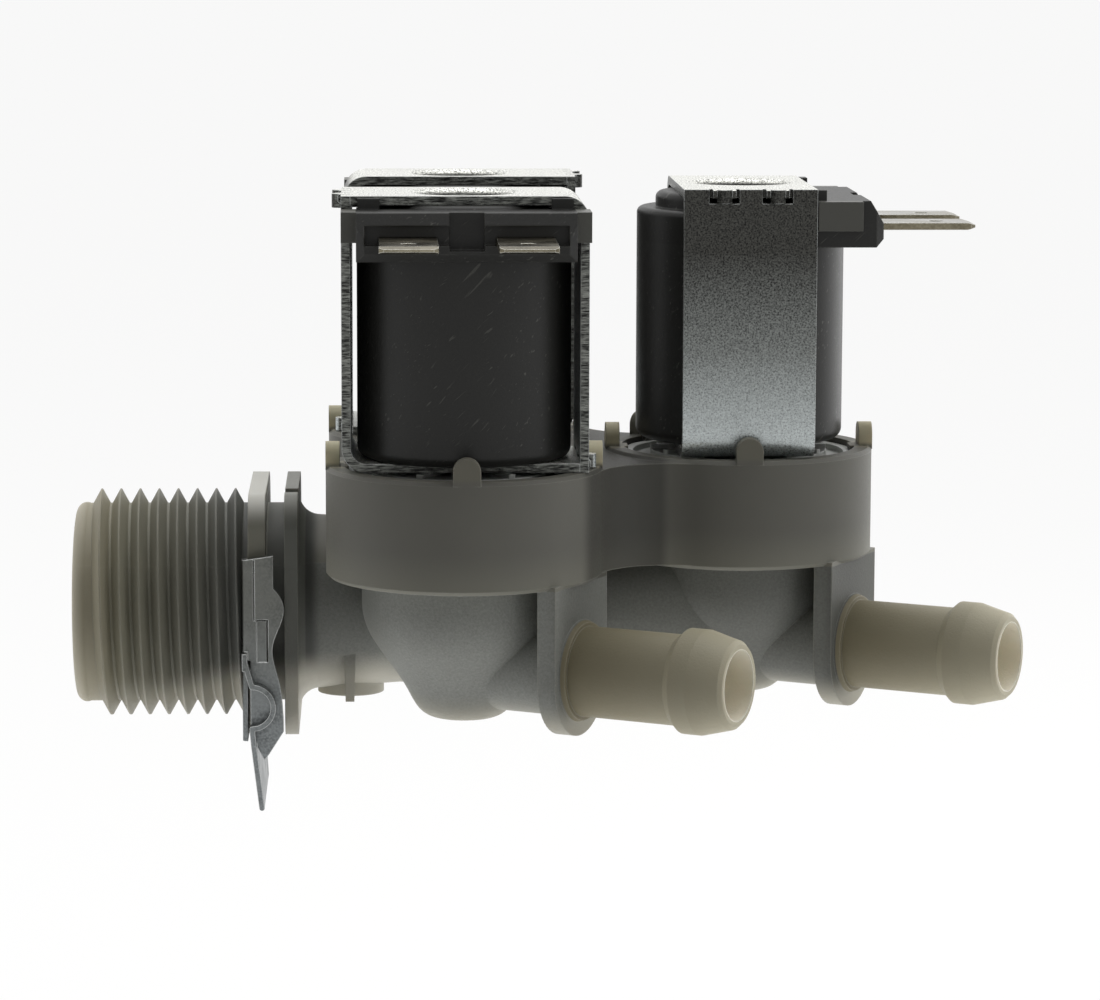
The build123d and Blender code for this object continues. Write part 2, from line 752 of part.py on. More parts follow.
# Half of a coil frame: the plate with its drawn collar, and the leg at its right
with BuildPart() as frame_upper:
    with BuildSketch(Plane.XZ):
        with Locations((sheet / 2, frame_top_z - sheet / 2)):
            Rectangle(frame_width - sheet, sheet)
        with Locations((frame_width / 2 - sheet / 2, frame_bottom_z + frame_height / 2)):
            Rectangle(sheet, frame_height)
    extrude(amount=frame_depth / 2, both=True)
    outer_bend = frame_upper.edges().filter_by(Axis.Y).sort_by(lambda e: e.center().X + e.center().Z)[-1]
    fillet(outer_bend, frame_bend_r)
    with BuildSketch(Plane.XZ):
        with BuildLine():
            corner = (frame_width / 2 - sheet, frame_top_z - sheet)
            Polyline(
                (corner[0] - frame_bend_r + sheet, corner[1]),
                corner,
                (corner[0], corner[1] - frame_bend_r + sheet),
            )
            RadiusArc(
                (corner[0], corner[1] - frame_bend_r + sheet),
                (corner[0] - frame_bend_r + sheet, corner[1]),
                -(frame_bend_r - sheet),
            )
        make_face()
    extrude(amount=frame_depth / 2, both=True)
    with BuildSketch(Plane.XZ):
        with BuildLine():
            Polyline(
                (collar_r, frame_top_z - sheet),
                (collar_r, frame_top_z - sheet - collar_length),
                (collar_bore_r, frame_top_z - sheet - collar_length),
                (collar_bore_r, frame_top_z - sheet),
                (collar_r, frame_top_z - sheet),
            )
        make_face()
    revolve(axis=Axis.Z)
    with BuildSketch(Plane.XZ):
        with BuildLine():
            Polyline(
                (0, frame_top_z + 1),
                (0, frame_top_z - 2 * sheet),
                (collar_bore_r, frame_top_z - 2 * sheet),
                (collar_bore_r, frame_top_z - collar_entry_r),
            )
            RadiusArc(
                (collar_bore_r, frame_top_z - collar_entry_r),
                (collar_bore_r + collar_entry_r, frame_top_z),
                collar_entry_r,
            )
            Polyline(
                (collar_bore_r + collar_entry_r, frame_top_z),
                (collar_bore_r + collar_entry_r, frame_top_z + 1),
                (0, frame_top_z + 1),
            )
        make_face()
    revolve(axis=Axis.Z, mode=Mode.SUBTRACT)
    for side in (-1, 1):
        tab_y = side * frame_tab_pitch / 2
        with BuildSketch(Plane.XY.offset(frame_top_z - sheet)):
            with Locations((-frame_width / 2 + (sheet - frame_tab_reach) / 2, tab_y)):
                Rectangle(sheet + frame_tab_reach, frame_tab_width)
        extrude(amount=sheet)
        with BuildSketch(Plane.XY.offset(frame_bottom_z)):
            with Locations((frame_width / 2 - sheet / 2, tab_y)):
                Rectangle(2 * sheet, frame_notch_width)
        extrude(amount=frame_notch_depth, mode=Mode.SUBTRACT)
    tab_ends = frame_upper.edges().filter_by(Axis.Y).group_by(Axis.X)[0]
    fillet(tab_ends, frame_tab_round)
    # The middle of each tab is peened outwards over its notch
    with BuildSketch(Plane.XY.offset(frame_top_z)):
        for side in (-1, 1):
            with Locations((-frame_width / 2 - frame_tab_reach / 2, side * frame_tab_pitch / 2)):
                Circle(frame_lump_r)
    extrude(amount=frame_lump_gap - frame_notch_depth)

# The other half is the same stamping, turned half over about the coil's cross axis
frame_middle = Axis((0, 0, frame_bottom_z + frame_height / 2), (0, 1, 0))
frame_lower_part = frame_upper.part.rotate(frame_middle, 180)


# Coil: windings sealed in black plastic, with the connector housing at its top front
with BuildPart() as coil:
    with BuildSketch(Plane.XZ):
        with BuildLine():
            Polyline(
                (0, coil_bottom_z),
                (coil_r, coil_bottom_z),
                (coil_r, coil_shoulder_z),
                (coil_cap_r, coil_shoulder_z),
                (coil_cap_r, cap_top_z),
                (0, cap_top_z),
                (0, coil_bottom_z),
            )
        make_face()
    revolve(axis=Axis.Z)
    rounds = coil.edges().filter_by(GeomType.CIRCLE)
    fillet(rounds.filter_by(lambda e: abs(e.radius - coil_r) < 0.01).sort_by(Axis.Z)[-1], coil_top_round)
    fillet(coil.edges().filter_by(GeomType.CIRCLE).sort_by(Axis.Z)[0], coil_bottom_round)
    fillet(coil.edges().filter_by(GeomType.CIRCLE).sort_by(Axis.Z)[-1], coil_cap_round)

    # Housing block and its side wings
    with BuildSketch(Plane.XY.offset(housing_bottom_z)):
        with Locations((0, -(housing_front + housing_back) / 2)):
            Rectangle(2 * housing_half_width, housing_front - housing_back)
    extrude(amount=housing_top_z - housing_bottom_z)
    wing_back = frame_depth / 2 + wing_gap
    wing_front = housing_front - wing_setback
    with BuildSketch(Plane.XY.offset(wing_bottom_z)):
        with Locations((0, -(wing_front + wing_back) / 2)):
            Rectangle(2 * wing_half_width, wing_front - wing_back)
    extrude(amount=housing_top_z - wing_bottom_z)
    front_edges = coil.faces().sort_by(Axis.Y)[0].edges()
    chamfer(front_edges.filter_by(Axis.X).sort_by(Axis.Z)[-1], housing_slope_height, housing_slope_depth)
    front = coil.faces().sort_by(Axis.Y)[0]
    chamfer(front.edges().filter_by(Axis.Z) + front.edges().filter_by(Axis.X).sort_by(Axis.Z)[0:1], housing_corner)

    # Recess across the front, where the spades stand, and a deeper one between them
    with BuildSketch(Plane.XZ.offset(housing_front)):
        with Locations((0, (spade_z - spade_thickness / 2 + socket_top_z) / 2)):
            Rectangle(2 * (housing_half_width - housing_corner), socket_top_z - spade_z + spade_thickness / 2)
    extrude(amount=-socket_depth, mode=Mode.SUBTRACT)
    with BuildSketch(Plane.XY.offset(housing_bottom_z + housing_floor)):
        with Locations((0, -housing_front)):
            Rectangle(2 * housing_mid_half_width, 2 * housing_mid_depth)
    extrude(amount=housing_top_z - housing_bottom_z, mode=Mode.SUBTRACT)
    key_block_x = (key_block_inner + key_block_outer) / 2
    for side in (-1, 1):
        with BuildSketch(Plane.XY.offset(housing_top_z)):
            with Locations((side * key_block_x, -wing_back - key_block_depth / 2)):
                Rectangle(key_block_outer - key_block_inner, key_block_depth)
        extrude(amount=housing_top_drop - key_block_top_drop)
        with BuildSketch(Plane.XZ.offset(spade_root)):
            with Locations((side * spade_pitch / 2, spade_z)):
                Rectangle(spade_width, spade_thickness)
        extrude(amount=housing_front - spade_root, mode=Mode.SUBTRACT)
    with BuildSketch(Plane.XY.offset(coil_bottom_z)):
        Circle(coil_bore_r)
    extrude(amount=cap_top_z - coil_bottom_z, mode=Mode.SUBTRACT)

# Spade terminal, 6.3 by 0.8, bevelled at its tip
with BuildPart() as terminal:
    with BuildSketch(Plane.XY.offset(spade_z - spade_thickness / 2)):
        with BuildLine():
            Polyline(
                (-spade_width / 2, -spade_root),
                (-spade_width / 2, -spade_tip + spade_tip_taper),
                (-spade_width / 2 + spade_tip_taper, -spade_tip),
                (spade_width / 2 - spade_tip_taper, -spade_tip),
                (spade_width / 2, -spade_tip + spade_tip_taper),
                (spade_width / 2, -spade_root),
                (-spade_width / 2, -spade_root),
            )
        make_face()
        with Locations((0, -spade_tip + spade_hole_from_tip)):
            Circle(spade_hole_r, mode=Mode.SUBTRACT)
    extrude(amount=spade_thickness)
    tip_edges = terminal.faces().sort_by(Axis.Y)[0].edges().filter_by(Axis.X)
    chamfer(tip_edges, spade_bevel_height, spade_bevel_length)

# Bonnet and guide tube, one moulding
with BuildPart() as bonnet:
    with BuildSketch(Plane.XZ):
        with BuildLine():
            Polyline(
                (bonnet_chamber_r, bonnet_bottom_z),
                (bonnet_r, bonnet_bottom_z),
                (bonnet_r, bonnet_rim_z),
                (bonnet_groove_outer_r, bonnet_rim_z),
                (bonnet_groove_outer_r, bonnet_top_z - bonnet_groove_depth),
                (bonnet_groove_inner_r, bonnet_top_z - bonnet_groove_depth),
                (bonnet_groove_inner_r, bonnet_top_z),
                (guide_tube_r, bonnet_top_z),
                (guide_tube_r, guide_tube_top_z - guide_tube_tip_chamfer),
                (guide_tube_r - guide_tube_tip_chamfer, guide_tube_top_z),
                (0, guide_tube_top_z),
                (0, guide_bore_top_z),
                (guide_bore_r, guide_bore_top_z),
                (guide_bore_r, bonnet_chamber_z),
                (bonnet_chamber_r, bonnet_chamber_z),
                (bonnet_chamber_r, bonnet_bottom_z),
            )
        make_face()
    revolve(axis=Axis.Z)
    rib_length = bonnet_groove_inner_r - guide_tube_r + bonnet_rib_root
    with BuildSketch(Plane.XY.offset(bonnet_top_z - bonnet_rib_root)):
        with PolarLocations(guide_tube_r - bonnet_rib_root + rib_length / 2, bonnet_rib_count):
            Rectangle(rib_length, bonnet_rib_width)
    extrude(amount=bonnet_rib_height + bonnet_rib_root)

# Plunger: soft iron, with water grooves at its sides and a pocket for the spring
with BuildPart() as plunger:
    with BuildSketch(Plane.XY.offset(plunger_bottom_z)):
        Circle(plunger_r)
        with PolarLocations(plunger_r, plunger_grooves):
            Rectangle(2 * plunger_groove_depth, plunger_groove_width, mode=Mode.SUBTRACT)
    extrude(amount=plunger_top_z - plunger_bottom_z)
    with BuildSketch(Plane.XY.offset(spring_pocket_z)):
        Circle(spring_pocket_r)
    extrude(amount=plunger_top_z - spring_pocket_z, mode=Mode.SUBTRACT)
    with BuildSketch(Plane.XY.offset(plunger_bottom_z)):
        Circle(seal_r)
    extrude(amount=seal_depth, mode=Mode.SUBTRACT)

with BuildPart() as plunger_seal:
    with BuildSketch(Plane.XY.offset(plunger_bottom_z - seal_proud)):
        Circle(seal_r)
    extrude(amount=seal_proud + seal_depth)
    chamfer(plunger_seal.edges().sort_by(Axis.Z)[0], seal_chamfer)

spring_bottom = spring_pocket_z + spring_end_gap + spring_wire_r
spring_top = guide_bore_top_z - spring_end_gap - spring_wire_r
with BuildPart() as plunger_spring:
    spring_rise = spring_top - spring_bottom
    with BuildLine() as spring_line:
        Helix(
            pitch=spring_rise / spring_turns,
            height=spring_rise,
            radius=spring_r,
            center=(0, 0, spring_bottom),
        )
    with BuildSketch(Plane(origin=spring_line.line @ 0, z_dir=spring_line.line % 0)):
        Circle(spring_wire_r)
    sweep(is_frenet=True)

# Diaphragm: rubber, with a bead at its rim, a thin web and the pad that closes the seat
with BuildPart() as diaphragm:
    bead_inner_r = diaphragm_r - bead_width
    web_z = ledge_z + bead_height / 2
    with BuildSketch(Plane.XZ):
        with BuildLine():
            Polyline(
                (insert_stem_r + insert_clearance, seat_z),
                (diaphragm_pad_r, seat_z),
                (diaphragm_pad_r, pad_top_z - diaphragm_web),
            )
            under = Spline(
                (diaphragm_pad_r, pad_top_z - diaphragm_web),
                (bead_inner_r, web_z - diaphragm_web / 2),
                tangents=((1, -0.6), (1, 0)),
            )
            Polyline(
                under @ 1,
                (bead_inner_r, ledge_z),
                (diaphragm_r, ledge_z),
                (diaphragm_r, ledge_z + bead_height),
                (bead_inner_r, ledge_z + bead_height),
                (bead_inner_r, web_z + diaphragm_web / 2),
            )
            over = Spline(
                (bead_inner_r, web_z + diaphragm_web / 2),
                (diaphragm_pad_r, pad_top_z),
                tangents=((-1, 0), (-1, 0.6)),
            )
            Polyline(
                over @ 1,
                (insert_stem_r + insert_clearance, pad_top_z),
                (insert_stem_r + insert_clearance, seat_z),
            )
        make_face()
    revolve(axis=Axis.Z)

# Hard insert through the diaphragm, with the pilot nozzle that the plunger closes
with BuildPart() as diaphragm_insert:
    with BuildSketch(Plane.XZ):
        with BuildLine():
            Polyline(
                (pilot_r, seat_z - insert_guide_height),
                (insert_guide_r, seat_z - insert_guide_height),
                (insert_guide_r, seat_z),
                (insert_stem_r, seat_z),
                (insert_stem_r, pad_top_z),
                (insert_flange_r, pad_top_z),
                (insert_flange_r, pad_top_z + insert_flange_height),
                (nozzle_r, pad_top_z + insert_flange_height),
                (nozzle_r, nozzle_top_z),
                (pilot_r, nozzle_top_z),
                (pilot_r, seat_z - insert_guide_height),
            )
        make_face()
    revolve(axis=Axis.Z)

# What each valve carries, placed and turned as a set
module_pieces = {
    "bonnet": bonnet.part,
    "frame_upper": frame_upper.part,
    "frame_lower": frame_lower_part,
    "coil": coil.part,
    "terminal_left": terminal.part.moved(Location((-spade_pitch / 2, 0, 0))),
    "terminal_right": terminal.part.moved(Location((spade_pitch / 2, 0, 0))),
    "plunger": plunger.part,
    "plunger_seal": plunger_seal.part,
    "plunger_spring": plunger_spring.part,
    "diaphragm": diaphragm.part,
    "diaphragm_insert": diaphragm_insert.part,
}

os.makedirs("parts", exist_ok=True)
export_step(valve_body.part, "parts/valve_body.step")
export_step(inlet_strainer.part, "parts/inlet_strainer.step")
export_step(mounting_clip.part, "parts/mounting_clip.step")

for valve, turn in coil_turns.items():
    (valve_x, valve_y), _ = outlets[valve]
    place = Location((valve_x, valve_y, 0), (0, 0, turn))
    for piece, solid in module_pieces.items():
        placed = solid.moved(place)
        placed.label = f"{valve}_{piece}"
        export_step(placed, f"parts/{valve}_{piece}.step")

    # Flow restrictor: a rubber ring against the step in the outlet's bore
    with BuildPart() as flow_restrictor:
        with BuildSketch(outlet_plane(valve, restrictor_seat)):
            Circle(outlet_bore_r - restrictor_clearance)
            Circle(restrictor_hole_r, mode=Mode.SUBTRACT)
        extrude(amount=restrictor_length)
    flow_restrictor.part.label = f"{valve}_flow_restrictor"
    export_step(flow_restrictor.part, f"parts/{valve}_flow_restrictor.step")
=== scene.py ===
import bpy
from math import cos, radians, sin
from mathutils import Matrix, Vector

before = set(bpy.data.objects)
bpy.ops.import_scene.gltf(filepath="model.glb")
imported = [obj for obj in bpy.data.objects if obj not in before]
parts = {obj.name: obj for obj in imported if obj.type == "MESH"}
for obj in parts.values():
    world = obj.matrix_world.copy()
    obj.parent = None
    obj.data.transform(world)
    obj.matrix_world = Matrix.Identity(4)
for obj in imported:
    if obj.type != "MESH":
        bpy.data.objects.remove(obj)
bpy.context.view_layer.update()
print("frame loaded,", len(parts), "parts")


# small helpers for node trees

def addNode(tree, kind, inputs=None, **settings):
    made = tree.nodes.new(kind)
    for key, value in settings.items():
        setattr(made, key, value)
    for key, value in (inputs or {}).items():
        if isinstance(value, bpy.types.NodeSocket):
            tree.links.new(value, made.inputs[key])
        else:
            made.inputs[key].default_value = value
    return made


def mathNode(tree, operation, first, second=0.0, clamp=False):
    return addNode(tree, "ShaderNodeMath", {0: first, 1: second}, operation=operation, use_clamp=clamp).outputs[0]


def vectorMath(tree, operation, first, second=(0, 0, 0), output="Vector"):
    return addNode(tree, "ShaderNodeVectorMath", {0: first, 1: second}, operation=operation).outputs[output]


def mapRange(tree, value, fromLow, fromHigh, toLow=0.0, toHigh=1.0, smooth=True):
    kind = "SMOOTHSTEP" if smooth else "LINEAR"
    inputs = {"Value": value, "From Min": fromLow, "From Max": fromHigh, "To Min": toLow, "To Max": toHigh}
    return addNode(tree, "ShaderNodeMapRange", inputs, interpolation_type=kind).outputs["Result"]


def mixColour(tree, mask, first, second, blend="MIX"):
    made = addNode(tree, "ShaderNodeMix", data_type="RGBA", blend_type=blend)
    for index, value in ((0, mask), (6, first), (7, second)):
        if isinstance(value, bpy.types.NodeSocket):
            tree.links.new(value, made.inputs[index])
        else:
            made.inputs[index].default_value = value
    return made.outputs[2]


# colour as it reads on screen, 0 to 255, to the linear value that a shader wants
def paint(red, green, blue):
    def linear(value):
        value /= 255
        return value / 12.92 if value <= 0.04045 else ((value + 0.055) / 1.055) ** 2.4
    return (linear(red), linear(green), linear(blue), 1.0)


def newGroup(name, inputs, outputs):
    group = bpy.data.node_groups.new(name, "ShaderNodeTree")
    kinds = {"value": "NodeSocketFloat", "vector": "NodeSocketVector", "colour": "NodeSocketColor"}
    for socketName, kind, start in inputs:
        socket = group.interface.new_socket(socketName, in_out="INPUT", socket_type=kinds[kind])
        socket.default_value = start
    for socketName, kind in outputs:
        group.interface.new_socket(socketName, in_out="OUTPUT", socket_type=kinds[kind])
    return group, group.nodes.new("NodeGroupInput").outputs, group.nodes.new("NodeGroupOutput").inputs


def useGroup(tree, group, inputs):
    made = addNode(tree, "ShaderNodeGroup", node_tree=group)
    for key, value in inputs.items():
        if isinstance(value, bpy.types.NodeSocket):
            tree.links.new(value, made.inputs[key])
        else:
            made.inputs[key].default_value = value
    return made.outputs


# effects that several finishes share

# sandblasted or moulded grain: a height for the bump and a speckle for the colour
def makeMouldGrain():
    group, given, result = newGroup(
        "mouldGrain",
        [("Point", "vector", (0, 0, 0)), ("Size", "value", 0.0003), ("Contrast", "value", 0.5)],
        [("Height", "value"), ("Speckle", "value")],
    )
    scale = mathNode(group, "DIVIDE", 1.0, given["Size"])
    fine = addNode(group, "ShaderNodeTexNoise", {"Vector": given["Point"], "Scale": scale, "Detail": 3.0, "Roughness": 0.65})
    coarseScale = mathNode(group, "MULTIPLY", scale, 0.33)
    coarse = addNode(group, "ShaderNodeTexNoise", {"Vector": given["Point"], "Scale": coarseScale, "Detail": 2.0})
    height = mathNode(group, "ADD", fine.outputs["Fac"], mathNode(group, "MULTIPLY", coarse.outputs["Fac"], 0.4))
    group.links.new(height, result["Height"])
    spread = mathNode(group, "MULTIPLY", mathNode(group, "SUBTRACT", fine.outputs["Fac"], 0.5), given["Contrast"])
    group.links.new(mathNode(group, "ADD", spread, 0.5, clamp=True), result["Speckle"])
    return group


# slow change of shade over a surface
def makeShadeDrift():
    group, given, result = newGroup(
        "shadeDrift",
        [("Point", "vector", (0, 0, 0)), ("Size", "value", 0.02), ("Amount", "value", 0.3)],
        [("Shade", "value")],
    )
    scale = mathNode(group, "DIVIDE", 1.0, given["Size"])
    cloud = addNode(group, "ShaderNodeTexNoise", {"Vector": given["Point"], "Scale": scale, "Detail": 2.5, "Roughness": 0.5})
    spread = mathNode(group, "MULTIPLY", mathNode(group, "SUBTRACT", cloud.outputs["Fac"], 0.5), given["Amount"])
    group.links.new(mathNode(group, "ADD", spread, 0.5, clamp=True), result["Shade"])
    return group


# thin light line where a surface turns sharply, and the softened normal there
def makeEdgeLine():
    group, given, result = newGroup(
        "edgeLine",
        [("Width", "value", 0.0002), ("Strength", "value", 1.0)],
        [("Line", "value"), ("Normal", "vector")],
    )
    bevel = addNode(group, "ShaderNodeBevel", {"Radius": given["Width"]}, samples=6)
    flat = addNode(group, "ShaderNodeNewGeometry").outputs["Normal"]
    agree = vectorMath(group, "DOT_PRODUCT", bevel.outputs["Normal"], flat, "Value")
    line = mapRange(group, agree, 0.995, 0.82)
    group.links.new(mathNode(group, "MULTIPLY", line, given["Strength"], clamp=True), result["Line"])
    group.links.new(bevel.outputs["Normal"], result["Normal"])
    return group


# share of the way along an axis, inside a round sleeve about it
def makeSleeve():
    group, given, result = newGroup(
        "sleeve",
        [
            ("Point", "vector", (0, 0, 0)),
            ("Foot", "vector", (0, 0, 0)),
            ("Direction", "vector", (1, 0, 0)),
            ("Start", "value", 0.0),
            ("End", "value", 0.01),
            ("Radius", "value", 0.01),
        ],
        [("Along", "value"), ("Inside", "value")],
    )
    offset = vectorMath(group, "SUBTRACT", given["Point"], given["Foot"])
    distance = vectorMath(group, "DOT_PRODUCT", offset, given["Direction"], "Value")
    onAxis = addNode(group, "ShaderNodeVectorMath", {0: given["Direction"]}, operation="SCALE")
    group.links.new(distance, onAxis.inputs["Scale"])
    away = vectorMath(group, "LENGTH", vectorMath(group, "SUBTRACT", offset, onAxis.outputs["Vector"]), output="Value")
    near = mathNode(group, "LESS_THAN", away, given["Radius"])
    started = mathNode(group, "GREATER_THAN", distance, given["Start"])
    group.links.new(mathNode(group, "MULTIPLY", near, started), result["Inside"])
    group.links.new(mapRange(group, distance, given["Start"], given["End"], smooth=False), result["Along"])
    return group


# short straight scratches, all leaning one way
def makeScuffs():
    group, given, result = newGroup(
        "scuffs",
        [
            ("Point", "vector", (0, 0, 0)),
            ("Lean", "value", 0.6),
            ("Spacing", "value", 0.0012),
            ("Amount", "value", 0.5),
        ],
        [("Mask", "value")],
    )
    turned = addNode(group, "ShaderNodeVectorRotate", {"Vector": given["Point"], "Angle": given["Lean"]}, rotation_type="Y_AXIS")
    stretched = addNode(group, "ShaderNodeMapping", {"Vector": turned.outputs["Vector"], "Scale": (1.0, 1.0, 0.07)})
    scale = mathNode(group, "DIVIDE", 1.0, given["Spacing"])
    lines = addNode(group, "ShaderNodeTexNoise", {"Vector": stretched.outputs["Vector"], "Scale": scale, "Detail": 1.0})
    patchScale = mathNode(group, "MULTIPLY", scale, 0.12)
    patches = addNode(group, "ShaderNodeTexNoise", {"Vector": given["Point"], "Scale": patchScale, "Detail": 2.0})
    thin = mapRange(group, lines.outputs["Fac"], 0.66, 0.76)
    spots = mapRange(group, patches.outputs["Fac"], 0.45, 0.62)
    both = mathNode(group, "MULTIPLY", thin, spots)
    group.links.new(mathNode(group, "MULTIPLY", both, given["Amount"], clamp=True), result["Mask"])
    return group


mouldGrain = makeMouldGrain()
shadeDrift = makeShadeDrift()
edgeLine = makeEdgeLine()
sleeve = makeSleeve()
scuffs = makeScuffs()
print("shared effects ready")


def newMaterial(name):
    material = bpy.data.materials.new(name)
    material.use_nodes = True
    tree = material.node_tree
    tree.nodes.clear()
    shader = addNode(tree, "ShaderNodeBsdfPrincipled")
    output = addNode(tree, "ShaderNodeOutputMaterial", {"Surface": shader.outputs["BSDF"]})
    point = addNode(tree, "ShaderNodeTexCoord").outputs["Object"]
    return material, tree, shader, point


def bumpNode(tree, height, distance, strength, normal=None):
    inputs = {"Height": height, "Distance": distance, "Strength": strength}
    if normal is not None:
        inputs["Normal"] = normal
    return addNode(tree, "ShaderNodeBump", inputs).outputs["Normal"]


# valve body: glass-filled nylon, smooth round the cups, sandblasted below, painted paler cream (painted light) where
# the wall is thin
bodyNylon = {
    "band": paint(105, 104, 97),
    "bandLow": paint(122, 121, 111),
    "lower": paint(138, 140, 134),
    "grainDark": paint(104, 105, 101),
    "grainPale": paint(172, 173, 168),
    "foot": paint(165, 162, 149),
    "neck": paint(70, 71, 67),
    # painted light: paler underside of the neck, as if lit from below
    "neckFootLit": paint(178, 175, 163),
    "threadStart": paint(140, 137, 120),
    "threadEnd": paint(94, 95, 91),
    "outletRoot": paint(124, 117, 94),
    # painted light: outlet tips and bores paler, as if lit through the thin wall
    "outletTipLit": paint(178, 172, 150),
    "outletBoreLit": paint(238, 233, 217),
    # painted light: the mouth and its lip paler, as if lit through the thin wall
    "mouth": paint(154, 148, 128),
    "mouthLip": paint(184, 178, 160),
    # painted light: pale top edges of the flanges
    "flange": paint(198, 197, 189),
    "flangeFront": paint(122, 121, 110),
    "flangeRear": paint(94, 95, 89),
    "lug": paint(112, 110, 99),
    # painted light: lugs beside the frames paler, as if lit through from behind
    "sideLugLit": paint(205, 197, 168),
    "edge": paint(172, 171, 162),
    # painted shade: multipliers that darken the lower body and the band where shade falls
    "paintedShadeLower": (0.63, 0.63, 0.62, 1.0),
    "paintedShadeBand": (0.46, 0.46, 0.46, 1.0),
    "hollowX": 0.0626,
    "bandBottom": 0.0058,
    "footTop": -0.0065,
    "flangeTop": 0.0118,
    "roughness": 0.52,
    "grainSize": 0.00028,
    "grainDepth": 0.00006,
    "valves": (
        ("near", (0.04448, -0.0166), -29),
        ("far", (0.04448, 0.0166), 29),
        ("right", (0.07674, 0.0), -29),
    ),
    "outletHeight": -0.004,
    "outletStart": 0.0149,
    "outletEnd": 0.0339,
    "outletSleeve": 0.0066,
    "boreSleeve": 0.0040,
}


def makeBodyNylon(values):
    material, tree, shader, point = newMaterial("bodyNylon")
    place = addNode(tree, "ShaderNodeSeparateXYZ", {"Vector": point}).outputs
    grain = useGroup(tree, mouldGrain, {"Point": point, "Size": values["grainSize"], "Contrast": 1.6})
    drift = useGroup(tree, shadeDrift, {"Point": point, "Size": 0.016, "Amount": 1.1})["Shade"]

    below = mapRange(tree, place["Z"], values["bandBottom"] + 0.0001, values["bandBottom"] - 0.0001)
    nearBottom = mapRange(tree, place["Z"], values["bandBottom"] + 0.005, values["bandBottom"])
    band = mixColour(tree, nearBottom, values["band"], values["bandLow"])
    speckled = mixColour(tree, grain["Speckle"], values["grainDark"], values["grainPale"])
    lower = mixColour(tree, 0.55, speckled, values["lower"])

    # painted shade: the moulding is darkened beside the neck, on the right chamber, on the last face and in the hollow
    # between the chambers, where shade falls
    shadeByNeck = mapRange(tree, place["X"], 0.0375, 0.033)
    shadeOnRight = mapRange(tree, place["X"], 0.0525, 0.056)
    shadeLastFace = mapRange(tree, place["X"], 0.085, 0.087)
    dull = mathNode(tree, "MAXIMUM", mathNode(tree, "MULTIPLY", shadeByNeck, 0.75), shadeOnRight)
    lower = mixColour(tree, dull, lower, mixColour(tree, 1.0, lower, values["paintedShadeLower"], "MULTIPLY"))
    lower = mixColour(tree, shadeLastFace, lower, mixColour(tree, 1.0, lower, values["paintedShadeLower"], "MULTIPLY"))
    fromHollow = mathNode(tree, "ABSOLUTE", mathNode(tree, "SUBTRACT", place["X"], values["hollowX"]))
    shadeInHollow = mapRange(tree, fromHollow, 0.0055, 0.004)
    band = mixColour(tree, shadeInHollow, band, mixColour(tree, 1.0, band, values["paintedShadeBand"], "MULTIPLY"))
    colour = mixColour(tree, below, band, lower)

    # inlet side: neck, flanges with painted light on their top edges, thread fading to the mouth, which is painted
    # paler cream as if lit through its thin wall
    inletSide = mapRange(tree, place["X"], 0.0284, 0.0270)
    flangeUp = mapRange(tree, place["Z"], values["flangeTop"] - 0.0012, values["flangeTop"] + 0.0012)
    onRear = mapRange(tree, place["X"], 0.0266, 0.0264)
    neck = mixColour(tree, onRear, values["neck"], values["flangeRear"])
    neck = mixColour(tree, mathNode(tree, "MULTIPLY", flangeUp, 0.25), neck, values["flange"])
    colour = mixColour(tree, inletSide, colour, neck)
    onFlange = mapRange(tree, place["X"], 0.0223, 0.0221)
    colour = mixColour(tree, onFlange, colour, mixColour(tree, flangeUp, values["flangeFront"], values["flange"]))
    onThread = mapRange(tree, place["X"], 0.0200, 0.0198)
    alongThread = mapRange(tree, place["X"], 0.004, 0.019, smooth=False)
    thread = mixColour(tree, alongThread, values["threadStart"], values["threadEnd"])
    colour = mixColour(tree, onThread, colour, thread)
    # painted light: under the neck the pale foot reaches higher and is paler still, as if lit from below
    litUnderNeck = mathNode(
        tree, "MULTIPLY", mapRange(tree, place["X"], 0.008, 0.022), mapRange(tree, place["X"], 0.040, 0.035)
    )
    early = mathNode(tree, "MULTIPLY", litUnderNeck, 0.0025)
    toFoot = mapRange(tree, mathNode(tree, "SUBTRACT", place["Z"], early), values["footTop"], values["footTop"] - 0.004)
    foot = mixColour(tree, litUnderNeck, values["foot"], values["neckFootLit"])
    colour = mixColour(tree, toFoot, colour, foot)
    # painted light: the mouth and its lip painted paler, as if lit through the thin wall
    toMouth = mapRange(tree, place["X"], 0.0065, 0.0012)
    colour = mixColour(tree, toMouth, colour, values["mouth"])
    toLip = mapRange(tree, place["X"], 0.0015, 0.0002)
    colour = mixColour(tree, toLip, colour, values["mouthLip"])

    # lugs above the rims; those beside the frames are painted paler cream, painted light as if shining through them
    # from behind
    onLug = mapRange(tree, place["Z"], 0.0180, 0.0188)
    lug = values["lug"]
    for _, (x, y), _ in values["valves"]:
        aside = mathNode(tree, "ABSOLUTE", mathNode(tree, "SUBTRACT", place["Y"], y))
        along = mathNode(tree, "ABSOLUTE", mathNode(tree, "SUBTRACT", place["X"], x))
        beside = mathNode(tree, "LESS_THAN", mathNode(tree, "MAXIMUM", aside, mathNode(tree, "DIVIDE", along, 6.0)), 0.003)
        lug = mixColour(tree, beside, lug, values["sideLugLit"])
    colour = mixColour(tree, onLug, colour, lug)

